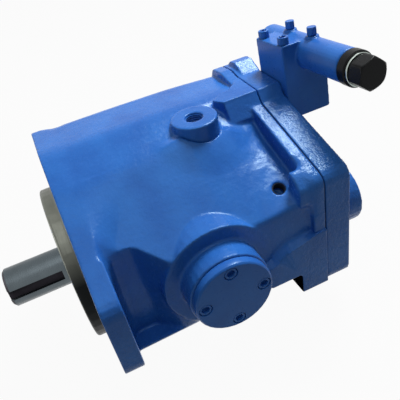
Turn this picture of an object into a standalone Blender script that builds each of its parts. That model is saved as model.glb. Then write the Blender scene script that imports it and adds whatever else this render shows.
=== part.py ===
"""Variable axial piston pump with a pressure compensator, built as separate named pieces.

The pump stands at rest with its yoke upright, so at zero stroke. X runs from the shaft end to the rear,
Y runs across along the trunnions and Z is up. The origin is where the shaft axis meets the face of the
mounting flange. Lengths are millimetres here, and MM turns them into metres where a mesh is made.
"""

import math

import bmesh
import bpy
from mathutils import Matrix, Vector

MM = 0.001
GAP = 0.3
SMOOTH_ANGLE = math.radians(32)
ROUND_STEPS = 3
AXIS_NEAR = 1e-6

# Shaft, mounting flange and pilot
SHAFT_RADIUS = 15.875
SHAFT_END = -60.6
KEYWAY_WIDTH = 7.9
KEYWAY_DEPTH = 4.0
KEYWAY_END = -17.0
KEYWAY_TURN = math.radians(13)
PILOT_RADIUS = 63.5
PILOT_FRONT = -10.5
FLANGE_THICKNESS = 15.0
FLANGE_BOLT_Y = 90.5
FLANGE_BOLT_RADIUS = 8.75

# Stations of the cast housing along X
CHAMBER_FRONT = 28.0
BARREL_CHAMBER = 108.0
REAR_FLANGE = 168.5
HOUSING_REAR = 178.3
PLATE_FRONT = 179.1
PLATE_REAR = 200.0
LUG_TOP = 85.5
PORT_END = 220.0

# Trunnions, on the tilt axis of the yoke
TRUNNION_X = 89.5
PAD_RADIUS = 44.0
PAD_FACE = 80.6
BOSS_RADIUS = 31.5
BOSS_FACE = 98.0
COVER_RADIUS = 30.0
COVER_FACE = 105.4
COVER_SCREW_CIRCLE = 23.0
TRUNNION_BORE = 18.6
PIN_RADIUS = 14.0

# Rotating group
PISTON_COUNT = 9
PITCH_RADIUS = 36.0
PISTON_RADIUS = 9.6
BALL_RADIUS = 6.8
BARREL_RADIUS = 51.0
BARREL_FRONT = 107.0
BARREL_REAR = 177.8
BORE_RADIUS = 10.4
WEAR_FACE = TRUNNION_X - 9.9

# Control piston above and yoke spring below, in the deep far half of the casting
CONTROL_Y = 28.0
CONTROL_Z = 62.0
CONTROL_RADIUS = 9.0
CONTROL_NOSE = 8.0
SPRING_POCKET = 12.0

# Drain port on top, small tapped port and rear ports
DRAIN_X = 119.0
DRAIN_FACE = 87.0
DRAIN_RADIUS = 18.5
DRAIN_BORE = 7.2
GAUGE_PLACE = (153.3, -63.0, 40.8)
GAUGE_BORE = 5.4
PORT_Y = 50.0
PORT_RADIUS = 25.0
PORT_BORE = 15.0
PLATE_BOLTS = ((-68.0, -36.0), (-68.0, 32.0), (70.0, 40.0), (70.0, -40.0))

# Compensator, in its own frame: Y along its bore, tilted about X
COMP_CENTRE = (225.0, 0.0, 105.0)
COMP_TILT = math.radians(-5)
COMP_BARREL = 13.0
COMP_NEAR = -52.0
COMP_FAR = 61.0
COMP_BLOCK_FRONT = PLATE_REAR + GAP - COMP_CENTRE[0]
COMP_BLOCK_REAR = 14.5
COMP_BLOCK_BOTTOM = -50.5
COMP_BLOCK_FAR = 42.5
COMP_LEDGE = 11.5
COMP_SCREWS = ((-19.5, 37.0), (-19.5, 6.0))
COMP_PLUGS = ((0.5, 28.0), (0.5, -4.0))
NUT_END = COMP_NEAR - 9.0
WASHER_END = NUT_END - 1.8
ADJUSTER_END = WASHER_END - 13.7

BLUE = (0.024, 0.138, 0.44)
STEEL = (0.42, 0.41, 0.38)
BLACK = (0.012, 0.013, 0.015)
BRONZE = (0.42, 0.27, 0.11)
RUBBER = (0.02, 0.02, 0.02)
CORK = (0.03, 0.032, 0.035)

PLANES = {"X": ((0, 1, 0), (0, 0, 1), (1, 0, 0)), "Y": ((1, 0, 0), (0, 0, 1), (0, 1, 0)),
          "Z": ((1, 0, 0), (0, 1, 0), (0, 0, 1))}


def clear_scene():
    """Remove everything that the start-up scene holds."""
    for old in list(bpy.data.objects):
        bpy.data.objects.remove(old, do_unlink=True)


def material(name, colour, metallic, roughness):
    """Give back a Principled material of its own for one piece."""
    made = bpy.data.materials.new(name)
    made.use_nodes = True
    shader = made.node_tree.nodes["Principled BSDF"]
    shader.inputs["Base Color"].default_value = (*colour, 1.0)
    shader.inputs["Metallic"].default_value = metallic
    shader.inputs["Roughness"].default_value = roughness
    made.diffuse_color = (*colour, 1.0)
    return made


def piece(name, shape, colour=BLUE, metallic=0.0, roughness=0.4, origin=(0, 0, 0)):
    """Turn a bmesh in millimetres into an object whose origin is at the given point."""
    start = Vector(origin)
    bmesh.ops.remove_doubles(shape, verts=shape.verts, dist=1e-4)
    bmesh.ops.recalc_face_normals(shape, faces=shape.faces)
    bmesh.ops.translate(shape, verts=shape.verts, vec=-start)
    bmesh.ops.scale(shape, verts=shape.verts, vec=(MM, MM, MM))
    mesh = bpy.data.meshes.new(name)
    shape.to_mesh(mesh)
    shape.free()
    mesh.shade_smooth()
    mesh.set_sharp_from_angle(angle=SMOOTH_ANGLE)
    mesh.materials.append(material(name + "_finish", colour, metallic, roughness))
    made = bpy.data.objects.new(name, mesh)
    made.location = start * MM
    bpy.context.scene.collection.objects.link(made)
    return made


def combine(target, operation, shapes):
    """Join shapes to the target, or cut them from it, through hidden helper objects."""
    group = bpy.data.collections.new(f"{target.name}_{operation.lower()}_{len(target.modifiers)}")
    bpy.context.scene.collection.children.link(group)
    for number, shape in enumerate(shapes):
        helper = piece(f"{group.name}_{number}", shape)
        helper.hide_render = True
        helper.display_type = "WIRE"
        bpy.context.scene.collection.objects.unlink(helper)
        group.objects.link(helper)
    change = target.modifiers.new(group.name, "BOOLEAN")
    change.operand_type = "COLLECTION"
    change.collection = group
    change.operation = operation
    change.solver = "EXACT"


def rounded(corners, steps=ROUND_STEPS):
    """Outline points of a polygon whose corners (u, v, radius) are rounded with arcs."""
    points = []
    for index, (u, v, radius) in enumerate(corners):
        here = Vector((u, v))
        if not radius:
            points.append(here)
            continue
        back = (Vector(corners[index - 1][:2]) - here).normalized()
        ahead = (Vector(corners[(index + 1) % len(corners)][:2]) - here).normalized()
        half = back.angle(ahead) / 2
        centre = here + (back + ahead).normalized() * (radius / math.sin(half))
        start = here + back * (radius / math.tan(half)) - centre
        end = here + ahead * (radius / math.tan(half)) - centre
        points += [centre + start.slerp(end, step / steps) * radius for step in range(steps + 1)]
    return points


def ring_points(radius, count, turn=0.0):
    """Points of a regular polygon, used for hexagons and bolt circles."""
    angles = [turn + math.tau * step / count for step in range(count)]
    return [Vector((radius * math.cos(angle), radius * math.sin(angle))) for angle in angles]


def prism(outline, low, high, axis="X"):
    """Extrude an outline along an axis: (y, z) along X, (x, z) along Y, (x, y) along Z."""
    across, up, along = (Vector(way) for way in PLANES[axis])
    shape = bmesh.new()
    verts = [shape.verts.new(across * point[0] + up * point[1] + along * low) for point in outline]
    face = shape.faces.new(verts)
    grown = bmesh.ops.extrude_face_region(shape, geom=[face])["geom"]
    moved = [item for item in grown if isinstance(item, bmesh.types.BMVert)]
    bmesh.ops.translate(shape, verts=moved, vec=along * (high - low))
    return shape


def box(x_range, y_range, z_range):
    """A plain block between two places on each axis."""
    outline = [(y_range[0], z_range[0]), (y_range[1], z_range[0]), (y_range[1], z_range[1]),
               (y_range[0], z_range[1])]
    return prism(outline, *x_range)


def loft(sections):
    """Skin rounded outlines (y, z) that stand at their own places along X."""
    shape = bmesh.new()
    loops = []
    for x, outline in sections:
        loops.append([shape.verts.new((x, point[0], point[1])) for point in outline])
    for first, second in zip(loops, loops[1:]):
        for index in range(len(first)):
            after = (index + 1) % len(first)
            shape.faces.new((first[index], first[after], second[after], second[index]))
    shape.faces.new(loops[0])
    shape.faces.new(loops[-1])
    return shape


def turned(profile, way=(1, 0, 0), centre=(0, 0, 0), steps=32):
    """Spin a profile of (along, radius) points about the line through centre along way."""
    shape = bmesh.new()
    verts = [shape.verts.new((radius, 0, along)) for along, radius in profile]
    edges = [shape.edges.new(pair) for pair in zip(verts, verts[1:])]
    if max(profile[0][1], profile[-1][1]) > AXIS_NEAR:
        edges.append(shape.edges.new((verts[-1], verts[0])))
    bmesh.ops.spin(shape, geom=verts + edges, cent=(0, 0, 0), axis=(0, 0, 1), dvec=(0, 0, 0),
                   angle=math.tau, steps=steps, use_merge=True)
    turn = Vector((0, 0, 1)).rotation_difference(Vector(way)).to_matrix().to_4x4()
    bmesh.ops.transform(shape, matrix=Matrix.Translation(centre) @ turn, verts=shape.verts)
    return shape


def rod(low, high, radius, way=(1, 0, 0), centre=(0, 0, 0), steps=32):
    """A solid cylinder between two places along its axis."""
    return turned([(low, 0), (low, radius), (high, radius), (high, 0)], way, centre, steps)


def tube(low, high, inner, outer, way=(1, 0, 0), centre=(0, 0, 0), steps=32):
    """A plain ring between two places along its axis."""
    return turned([(low, inner), (low, outer), (high, outer), (high, inner)], way, centre, steps)


def arc(radius, start, end, steps, centre=0.0):
    """Profile points (along, radius) of a ball, by polar angle in degrees from the axis."""
    angles = [math.radians(start + (end - start) * step / steps) for step in range(steps + 1)]
    return [(centre + radius * math.cos(angle), radius * math.sin(angle)) for angle in angles]


def coil(low, high, radius, wire, turns, way=(1, 0, 0), centre=(0, 0, 0), steps=8, sides=5):
    """A helical spring of round wire, r(t) = (R cos t, R sin t, pitch t), with flat ends to the wire."""
    shape = bmesh.new()
    rings = []
    count = int(turns * steps)
    for step in range(count + 1):
        angle = math.tau * step / steps
        along = low + wire + (high - low - 2 * wire) * step / count
        out = Vector((math.cos(angle), math.sin(angle), 0))
        middle = out * radius + Vector((0, 0, along))
        spots = ring_points(wire, sides)
        rings.append([shape.verts.new(middle + out * spot.x + Vector((0, 0, spot.y))) for spot in spots])
    for first, second in zip(rings, rings[1:]):
        for index in range(sides):
            after = (index + 1) % sides
            shape.faces.new((first[index], first[after], second[after], second[index]))
    shape.faces.new(rings[0])
    shape.faces.new(rings[-1])
    turn = Vector((0, 0, 1)).rotation_difference(Vector(way)).to_matrix().to_4x4()
    bmesh.ops.transform(shape, matrix=Matrix.Translation(centre) @ turn, verts=shape.verts)
    return shape


def tilted(shape):
    """Move a shape from the compensator's own frame to its place on the pump."""
    place = Matrix.Translation(COMP_CENTRE) @ Matrix.Rotation(COMP_TILT, 4, "X")
    bmesh.ops.transform(shape, matrix=place, verts=shape.verts)
    return shape


def comp_point(point):
    """Place of a point that is given in the compensator's own frame."""
    return Vector(COMP_CENTRE) + Matrix.Rotation(COMP_TILT, 3, "X") @ Vector(point)


def piston_places():
    """(y, z) of each piston axis on the pitch circle."""
    return ring_points(PITCH_RADIUS, PISTON_COUNT, math.radians(90))


def housing_section(low, shoulder, middle, ridge, far):
    """Wedge-shaped outline of the casting: low on the near side, deep on the far side."""
    slope = [(-80 + 65 * part, shoulder + (middle - shoulder) * part, 0) for part in (0.3, 0.55, 0.8)]
    corners = [(-80, -low, 16), (-80, shoulder, 5), *slope, (-15, middle, 40), (25, ridge, 40), (76, far, 10),
               (84, 58, 14), (84, -58, 14), (76, -far, 10), (25, -ridge, 50)]
    return rounded(corners)


def flange_outline():
    """Mounting flange, flush with the casting on top and reaching out to one ear on each side."""
    upper = [(-104, 34, 12), (-15, 76, 40), (25, 87, 50), (77, 84.3, 8), (92, 56, 16), (104, 30, 12)]
    lower = [(y, -z, radius) for y, z, radius in reversed(upper[1:])]
    return rounded(upper + lower + [(-104, -30, 12)])


def plate_outline(inset=0.0):
    """Outline that the rear flange, the gasket and the valve plate share."""
    corners = [(-85, -54, 8), (-85, 51, 9), (20, 81.5, 20), (56, 88, 10), (74, 85.5, 6), (86, 64, 12),
               (86, -64, 12), (72, -85, 8), (20, -82, 30)]
    scale = 1 - inset / 86
    return rounded([(y * scale, z * scale, radius) for y, z, radius in corners])


def lug_outline():
    """Plan of the flat lug on top of the housing, pointed in front and cut away on the far side."""
    return [(142.3, 16.6), (148, 8), (HOUSING_REAR, 8), (HOUSING_REAR, 41), (161, 26), (149, 22.5)]


def screw_holes(side):
    """Screw holes of one trunnion boss; side is -1 near and 1 far."""
    places = [(TRUNNION_X + spot.x, 0, spot.y) for spot in ring_points(COVER_SCREW_CIRCLE, 4)]
    return [rod(BOSS_FACE - 16, BOSS_FACE + 2, 3.0 + GAP, (0, side, 0), place, 10) for place in places]


def build_housing():
    """The casting: a lofted wedge with flanges, pads, bosses and lug, hollowed for the working parts."""
    stations = ((FLANGE_THICKNESS - 5, 46, 31, 75.4, 86.5, 83.6), (62, 44, 31, 75.4, 86.5, 83.6),
                (105, 40, 31, 74.6, 86, 83), (119, 38.5, 31, 72.5, 85.6, 82.6), (130, 37, 31, 69.6, 84.9, 82.2),
                (140, 36, 31.5, 66, 84, 81.6), (156, 34.5, 33.6, 60.8, 82.6, 80.6),
                (REAR_FLANGE + 4, 33, 36, 56, 81, 79.5))
    body = loft([(x, housing_section(*heights)) for x, *heights in stations])
    housing = piece("housing", body, BLUE, 0.0, 0.38)
    pilot = turned([(5, 0), (5, PILOT_RADIUS), (PILOT_FRONT + 1.2, PILOT_RADIUS),
                    (PILOT_FRONT, PILOT_RADIUS - 1.2), (PILOT_FRONT, 0)], steps=48)
    combine(housing, "UNION", [
        prism(flange_outline(), 0, FLANGE_THICKNESS), pilot,
        prism(plate_outline(), REAR_FLANGE, HOUSING_REAR),
        prism(lug_outline(), 55, LUG_TOP, "Z"),
        prism([(-3, 69.8), (8.3, 85.4), (12, 85.4), (12, 55), (-3, 55)], 148, HOUSING_REAR),
        prism([(-83, 30), (-83, 45.5), (-73, 53.9), (-66, 55.9), (-66, 30)], 159, REAR_FLANGE + 4)])
    near_scoop = rounded([(FLANGE_THICKNESS, -130, 0), (FLANGE_THICKNESS, -62, 8), (36, -62, 12),
                          (58, -82, 0), (70, -130, 0)])
    far_scoop = rounded([(FLANGE_THICKNESS, 130, 0), (62, 130, 0), (50, 76, 10), (FLANGE_THICKNESS, 76, 8)])
    combine(housing, "DIFFERENCE", [prism(near_scoop, -40, 110, "Z"), prism(far_scoop, -34, 34, "Z")])
    trunnion = (TRUNNION_X, 0, 0)
    foot = [(112, -14), (131.5, -6.8), (147, 2.2), (HOUSING_REAR, 4.2), (HOUSING_REAR, -53.5), (154, -53.5),
            (154, -33), (128, -33), (112, -22)]
    slope = Vector((0, -0.4, 0.917)).normalized()
    bosses = [rod(50, PAD_FACE, PAD_RADIUS, (0, -1, 0), trunnion, 40),
              rod(50, 88, PAD_RADIUS, (0, 1, 0), trunnion, 32),
              rod(DRAIN_FACE - 40, DRAIN_FACE, DRAIN_RADIUS, (0, 0, 1), (DRAIN_X, 0, 0), 32),
              prism(foot, -86.5, -62, "Y")]
    bosses += [rod(60, BOSS_FACE, BOSS_RADIUS, (0, side, 0), trunnion, 36) for side in (-1, 1)]
    combine(housing, "UNION", bosses)
    chamber = rounded([(-52.5, -46, 8), (-52.5, 46, 8), (22, 79, 20), (56, 77, 10), (62, 58, 10),
                       (62, -58, 10), (56, -77, 10), (22, -79, 20)], 3)
    first = [prism(chamber, CHAMBER_FRONT, BARREL_CHAMBER), rod(-10, 8, GAUGE_BORE, slope, GAUGE_PLACE, 12)]
    first += [rod(-5, FLANGE_THICKNESS + 3, FLANGE_BOLT_RADIUS, (1, 0, 0), (0, y, 0), 20)
              for y in (-FLANGE_BOLT_Y, FLANGE_BOLT_Y)]
    first += [rod(160, HOUSING_REAR + 5, 6.0 + GAP, (1, 0, 0), (0, y, z), 10) for y, z in PLATE_BOLTS]
    first += screw_holes(-1) + screw_holes(1)
    front_bore = turned([(PILOT_FRONT - 5, 0), (PILOT_FRONT - 5, 18.5), (-8.2, 18.5), (-8.2, 26), (3.7, 26),
                         (3.7, 36.2), (21.3, 36.2), (21.3, 37.6), (23.7, 37.6), (23.7, 36.2), (40, 36.2),
                         (40, 0)], steps=32)
    second = [rod(-66, 66, 40.5, (0, 1, 0), trunnion, 28), front_bore]
    third = [rod(100, HOUSING_REAR + 5, 54.0, steps=36)]
    third += [rod(60, BOSS_FACE + 2, TRUNNION_BORE, (0, side, 0), trunnion, 24) for side in (-1, 1)]
    fourth = [rod(100, 174, CONTROL_RADIUS + GAP, (1, 0, 0), (0, CONTROL_Y, CONTROL_Z), 16),
              rod(100, 173, SPRING_POCKET, (1, 0, 0), (0, CONTROL_Y, -CONTROL_Z), 16),
              rod(45, DRAIN_FACE + 5, DRAIN_BORE, (0, 0, 1), (DRAIN_X, 0, 0), 20)]
    for cuts in (first, second, third, fourth):
        combine(housing, "DIFFERENCE", cuts)


def kidney(side):
    """Curved slot of the valve face, an arc band on the piston pitch circle."""
    angles = [math.radians(-54 + 18 * step) for step in range(7)]
    outer = [(side * (PITCH_RADIUS + 4.5) * math.cos(angle), (PITCH_RADIUS + 4.5) * math.sin(angle))
             for angle in angles]
    inner = [(side * (PITCH_RADIUS - 4.5) * math.cos(angle), (PITCH_RADIUS - 4.5) * math.sin(angle))
             for angle in reversed(angles)]
    return prism(outer + inner, PLATE_FRONT - 3, 192)


def build_valve_plate():
    """Rear port block with its lug, two round port bosses, valve slots and rear bearing bore."""
    plate = piece("valve_plate", prism(plate_outline(), PLATE_FRONT, PLATE_REAR), BLUE, 0.0, 0.38)
    lug = box((PLATE_FRONT, PLATE_REAR), (8, 41), (55, LUG_TOP))
    wedge = prism([(0, 74), (8.3, 85.4), (12, 85.4), (12, 60), (0, 60)], PLATE_FRONT, PLATE_REAR)
    crest = prism([(43, 78), (43, 86.2), (56, 92), (65, 91), (73, 84), (73, 78)], PLATE_FRONT + 4, PLATE_REAR)
    ports = [rod(190, PORT_END, PORT_RADIUS, (1, 0, 0), (0, side * PORT_Y, 0), 32) for side in (-1, 1)]
    combine(plate, "UNION", [lug, wedge, crest] + ports)
    cuts = [kidney(-1), kidney(1), rod(PLATE_FRONT - 3, 196, 21.3)]
    cuts += [rod(188, PORT_END + 5, PORT_BORE, (1, 0, 0), (0, side * PORT_Y, 0), 24) for side in (-1, 1)]
    for y, z in PLATE_BOLTS:
        stepped = [(170, 0), (170, 6.0 + GAP), (189, 6.0 + GAP), (189, 9.6), (PLATE_REAR + 3, 9.6),
                   (PLATE_REAR + 3, 0)]
        cuts.append(turned(stepped, (1, 0, 0), (0, y, z), 12))
    combine(plate, "DIFFERENCE", cuts)
    sheet = prism(plate_outline(1.2), HOUSING_REAR + 0.1, PLATE_FRONT - 0.1)
    gasket = piece("case_gasket", sheet, CORK, 0.0, 0.7)
    holes = [rod(170, 190, 55.5, steps=28)]
    holes += [rod(170, 190, 6.6, (1, 0, 0), (0, y, z), 8) for y, z in PLATE_BOLTS]
    combine(gasket, "DIFFERENCE", holes)
    for number, (y, z) in enumerate(PLATE_BOLTS, 1):
        profile = [(163, 0), (163, 6), (189.2, 6), (189.2, 9), (PLATE_REAR - 0.2, 9), (PLATE_REAR - 0.2, 0)]
        bolt = piece(f"plate_bolt_{number}", turned(profile, (1, 0, 0), (0, y, z), 12), BLACK, 0.7, 0.45)
        socket = prism([spot + Vector((y, z)) for spot in ring_points(5.0, 6)], 193, PLATE_REAR + 3)
        combine(bolt, "DIFFERENCE", [socket])


def cover_screw(side, spot, proud=-0.4):
    """Socket screw of a trunnion cover: shank and head, turned; proud is how far the head stands out."""
    top = COVER_FACE + proud
    profile = [(BOSS_FACE - 13, 0), (BOSS_FACE - 13, 3), (101.0, 3), (101.0, 5), (top, 5), (top, 0)]
    return turned(profile, (0, side, 0), (TRUNNION_X + spot.x, 0, spot.y), 8)


def build_covers():
    """Round end covers of the trunnions with their screws and the trunnion bearings."""
    spots = ring_points(COVER_SCREW_CIRCLE, 4)
    for name, side in (("near", -1), ("far", 1)):
        way = (0, side, 0)
        centre = (TRUNNION_X, 0, 0)
        profile = [(94.5, 0), (94.5, 18.2), (BOSS_FACE + GAP, 18.2), (BOSS_FACE + GAP, COVER_RADIUS),
                   (COVER_FACE - 1.2, COVER_RADIUS), (COVER_FACE, COVER_RADIUS - 1.2), (COVER_FACE, 0)]
        cover = piece(f"trunnion_cover_{name}", turned(profile, way, centre, 36), BLUE, 0.0, 0.38)
        if side < 0:
            holes = [turned([(90, 0), (90, 3 + GAP), (100.7, 3 + GAP), (100.7, 5.4), (120, 5.4), (120, 0)],
                            way, (TRUNNION_X + spot.x, 0, spot.y), 12) for spot in spots]
            combine(cover, "DIFFERENCE", holes)
            for number, spot in enumerate(spots, 1):
                screw = piece(f"cover_screw_{number}", cover_screw(side, spot), BLUE, 0.0, 0.4)
                hexagon = [turn + Vector((TRUNNION_X, 0)) + spot for turn in ring_points(3.2, 6)]
                combine(screw, "DIFFERENCE", [prism(hexagon, -COVER_FACE - 3, -COVER_FACE + 3.2, "Y")])
        else:
            combine(cover, "UNION", [cover_screw(side, spot, 1.0) for spot in spots])
        ring = tube(68, 93, PIN_RADIUS + 0.5, TRUNNION_BORE - GAP, way, centre, 18)
        piece(f"trunnion_bearing_{name}", ring, STEEL, 1.0, 0.3)


def build_shaft():
    """Keyed drive shaft with its seal, front bearing, retaining ring and rear bearing."""
    profile = [(SHAFT_END, 0), (SHAFT_END, SHAFT_RADIUS - 2), (SHAFT_END + 2, SHAFT_RADIUS),
               (2, SHAFT_RADIUS), (2, 17.3), (21.4, 17.3), (21.4, 20), (26, 20), (26, 15), (106, 15), (106, 13), (176, 13),
               (176, 12), (194, 12), (194, 0)]
    shaft = piece("drive_shaft", turned(profile, steps=32), STEEL, 1.0, 0.28)
    slot = [(-KEYWAY_WIDTH / 2, SHAFT_RADIUS - KEYWAY_DEPTH), (KEYWAY_WIDTH / 2, SHAFT_RADIUS - KEYWAY_DEPTH),
            (KEYWAY_WIDTH / 2, SHAFT_RADIUS + 4), (-KEYWAY_WIDTH / 2, SHAFT_RADIUS + 4)]
    cutter = prism(slot, SHAFT_END - 5, KEYWAY_END)
    aim = Matrix.Rotation(math.radians(90) - KEYWAY_TURN, 4, "X")
    bmesh.ops.transform(cutter, matrix=aim, verts=cutter.verts)
    combine(shaft, "DIFFERENCE", [cutter])
    piece("shaft_seal", tube(-7.9, 1.4, SHAFT_RADIUS + GAP, 25.7, steps=20), RUBBER, 0.0, 0.6)
    piece("front_bearing_outer", tube(4.0, 21.0, 31.2, 35.9, steps=20), STEEL, 1.0, 0.25)
    piece("front_bearing_inner", tube(4.0, 21.0, 17.6, 22.4, steps=20), STEEL, 1.0, 0.25)
    piece("front_bearing_cage", tube(6.5, 18.5, 22.8, 30.5, steps=20), BRONZE, 0.9, 0.4)
    piece("retaining_ring", tube(21.6, 23.4, 31.0, 37.2, steps=20), BLACK, 0.6, 0.4)
    piece("rear_bearing", tube(180, 195, 12.5, 21.0, steps=20), STEEL, 1.0, 0.25)


def build_yoke():
    """Tilting yoke with its trunnion pins, and the wear plate and shoe retainer that it carries."""
    rear = WEAR_FACE - 7
    base = turned([(50, 30), (50, 50.5), (rear - GAP, 50.5), (rear - GAP, 22.5)], steps=32)
    yoke = piece("yoke", base, STEEL, 0.8, 0.5, (TRUNNION_X, 0, 0))
    side_arm = rounded([(56, -20, 4), (100, -20, 8), (100, 20, 8), (56, 20, 4)], 3)
    arms = [prism(side_arm, low, high, "Y") for low, high in ((-62, -49.6), (49.6, 62))]
    arms += [box((56, rear - GAP - 1), (low, high), (-18, 18)) for low, high in ((-55, -40), (40, 55))]
    arms += [rod(55, 93, PIN_RADIUS, (0, side, 0), (TRUNNION_X, 0, 0), 20) for side in (-1, 1)]
    pad = TRUNNION_X - CONTROL_NOSE - 0.4
    ears = [box((64, pad), (CONTROL_Y - 10, CONTROL_Y + 10), span) for span in ((50, 69), (-69, -50))]
    ears += [box((64, rear - GAP - 1), (CONTROL_Y - 10, CONTROL_Y + 10), span)
             for span in ((32, 56), (-56, -32))]
    combine(yoke, "UNION", arms + ears)
    plate = tube(rear, WEAR_FACE, 22.5, 49.3, steps=28)
    piece("wear_plate", plate, BRONZE, 0.9, 0.35, (TRUNNION_X, 0, 0))
    ring = tube(TRUNNION_X - 6.1, TRUNNION_X - 2.8, 21.5, 49, steps=36)
    retainer = piece("shoe_retainer", ring, STEEL, 1.0, 0.3, (TRUNNION_X, 0, 0))
    holes = [rod(70, 100, 11.3, (1, 0, 0), (0, y, z), 12) for y, z in piston_places()]
    combine(retainer, "DIFFERENCE", holes)


def build_rotating_group():
    """Cylinder barrel, spring-loaded ball guide, pistons with ball ends and their shoes."""
    barrel = turned([(BARREL_FRONT, 22), (BARREL_FRONT, BARREL_RADIUS - 2), (BARREL_FRONT + 2, BARREL_RADIUS),
                     (BARREL_REAR, BARREL_RADIUS), (BARREL_REAR, 14), (147, 14), (147, 22)], steps=36)
    block = piece("cylinder_barrel", barrel, STEEL, 1.0, 0.3)
    bores = [turned([(90, 0), (90, BORE_RADIUS), (170, BORE_RADIUS), (170, 4.5), (190, 4.5), (190, 0)],
                    (1, 0, 0), (0, y, z), 10) for y, z in piston_places()]
    combine(block, "DIFFERENCE", bores)
    ball = arc(21.0, 120, 57, 3, TRUNNION_X)
    guide = ball + [(TRUNNION_X + 11.5, 16.9), (112, 16.9), (112, 15.5), (ball[0][0], 15.5)]
    piece("ball_guide", turned(guide, steps=20), STEEL, 1.0, 0.3)
    piece("barrel_spring", coil(112.4, 146.6, 18.6, 1.5, 4, steps=12), STEEL, 1.0, 0.35)
    for number, (y, z) in enumerate(piston_places(), 1):
        place = (TRUNNION_X, y, z)
        stem = arc(BALL_RADIUS, 180, 38, 4)
        stem += [(8.5, 4.0), (10.5, PISTON_RADIUS), (66, PISTON_RADIUS), (67, PISTON_RADIUS - 1), (67, 0)]
        piece(f"piston_{number}", turned(stem, (1, 0, 0), place, 10), STEEL, 1.0, 0.22, place)
        cup = [(-9.5, 2.0), (-9.5, 11.7), (-6.7, 11.7), (-6.7, 8.8), (2.6, 8.8)]
        cup += arc(BALL_RADIUS + 0.6, 68, 164, 3)
        piece(f"shoe_{number}", turned(cup, (1, 0, 0), place, 10), BRONZE, 0.9, 0.35, place)


def build_control():
    """Control piston that pushes the yoke upright and the spring that tilts it."""
    place = (TRUNNION_X, CONTROL_Y, CONTROL_Z)
    nose = arc(CONTROL_NOSE, 180, 80, 3)
    nose += [(4, CONTROL_NOSE), (6, CONTROL_RADIUS), (62, CONTROL_RADIUS), (62, 0)]
    piece("control_piston", turned(nose, (1, 0, 0), place, 14), STEEL, 1.0, 0.25, place)
    pad = TRUNNION_X - CONTROL_NOSE
    spring = coil(pad, 172.6, 9.2, 1.6, 6, (1, 0, 0), (0, CONTROL_Y, -CONTROL_Z))
    piece("yoke_spring", spring, STEEL, 1.0, 0.35)


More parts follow.
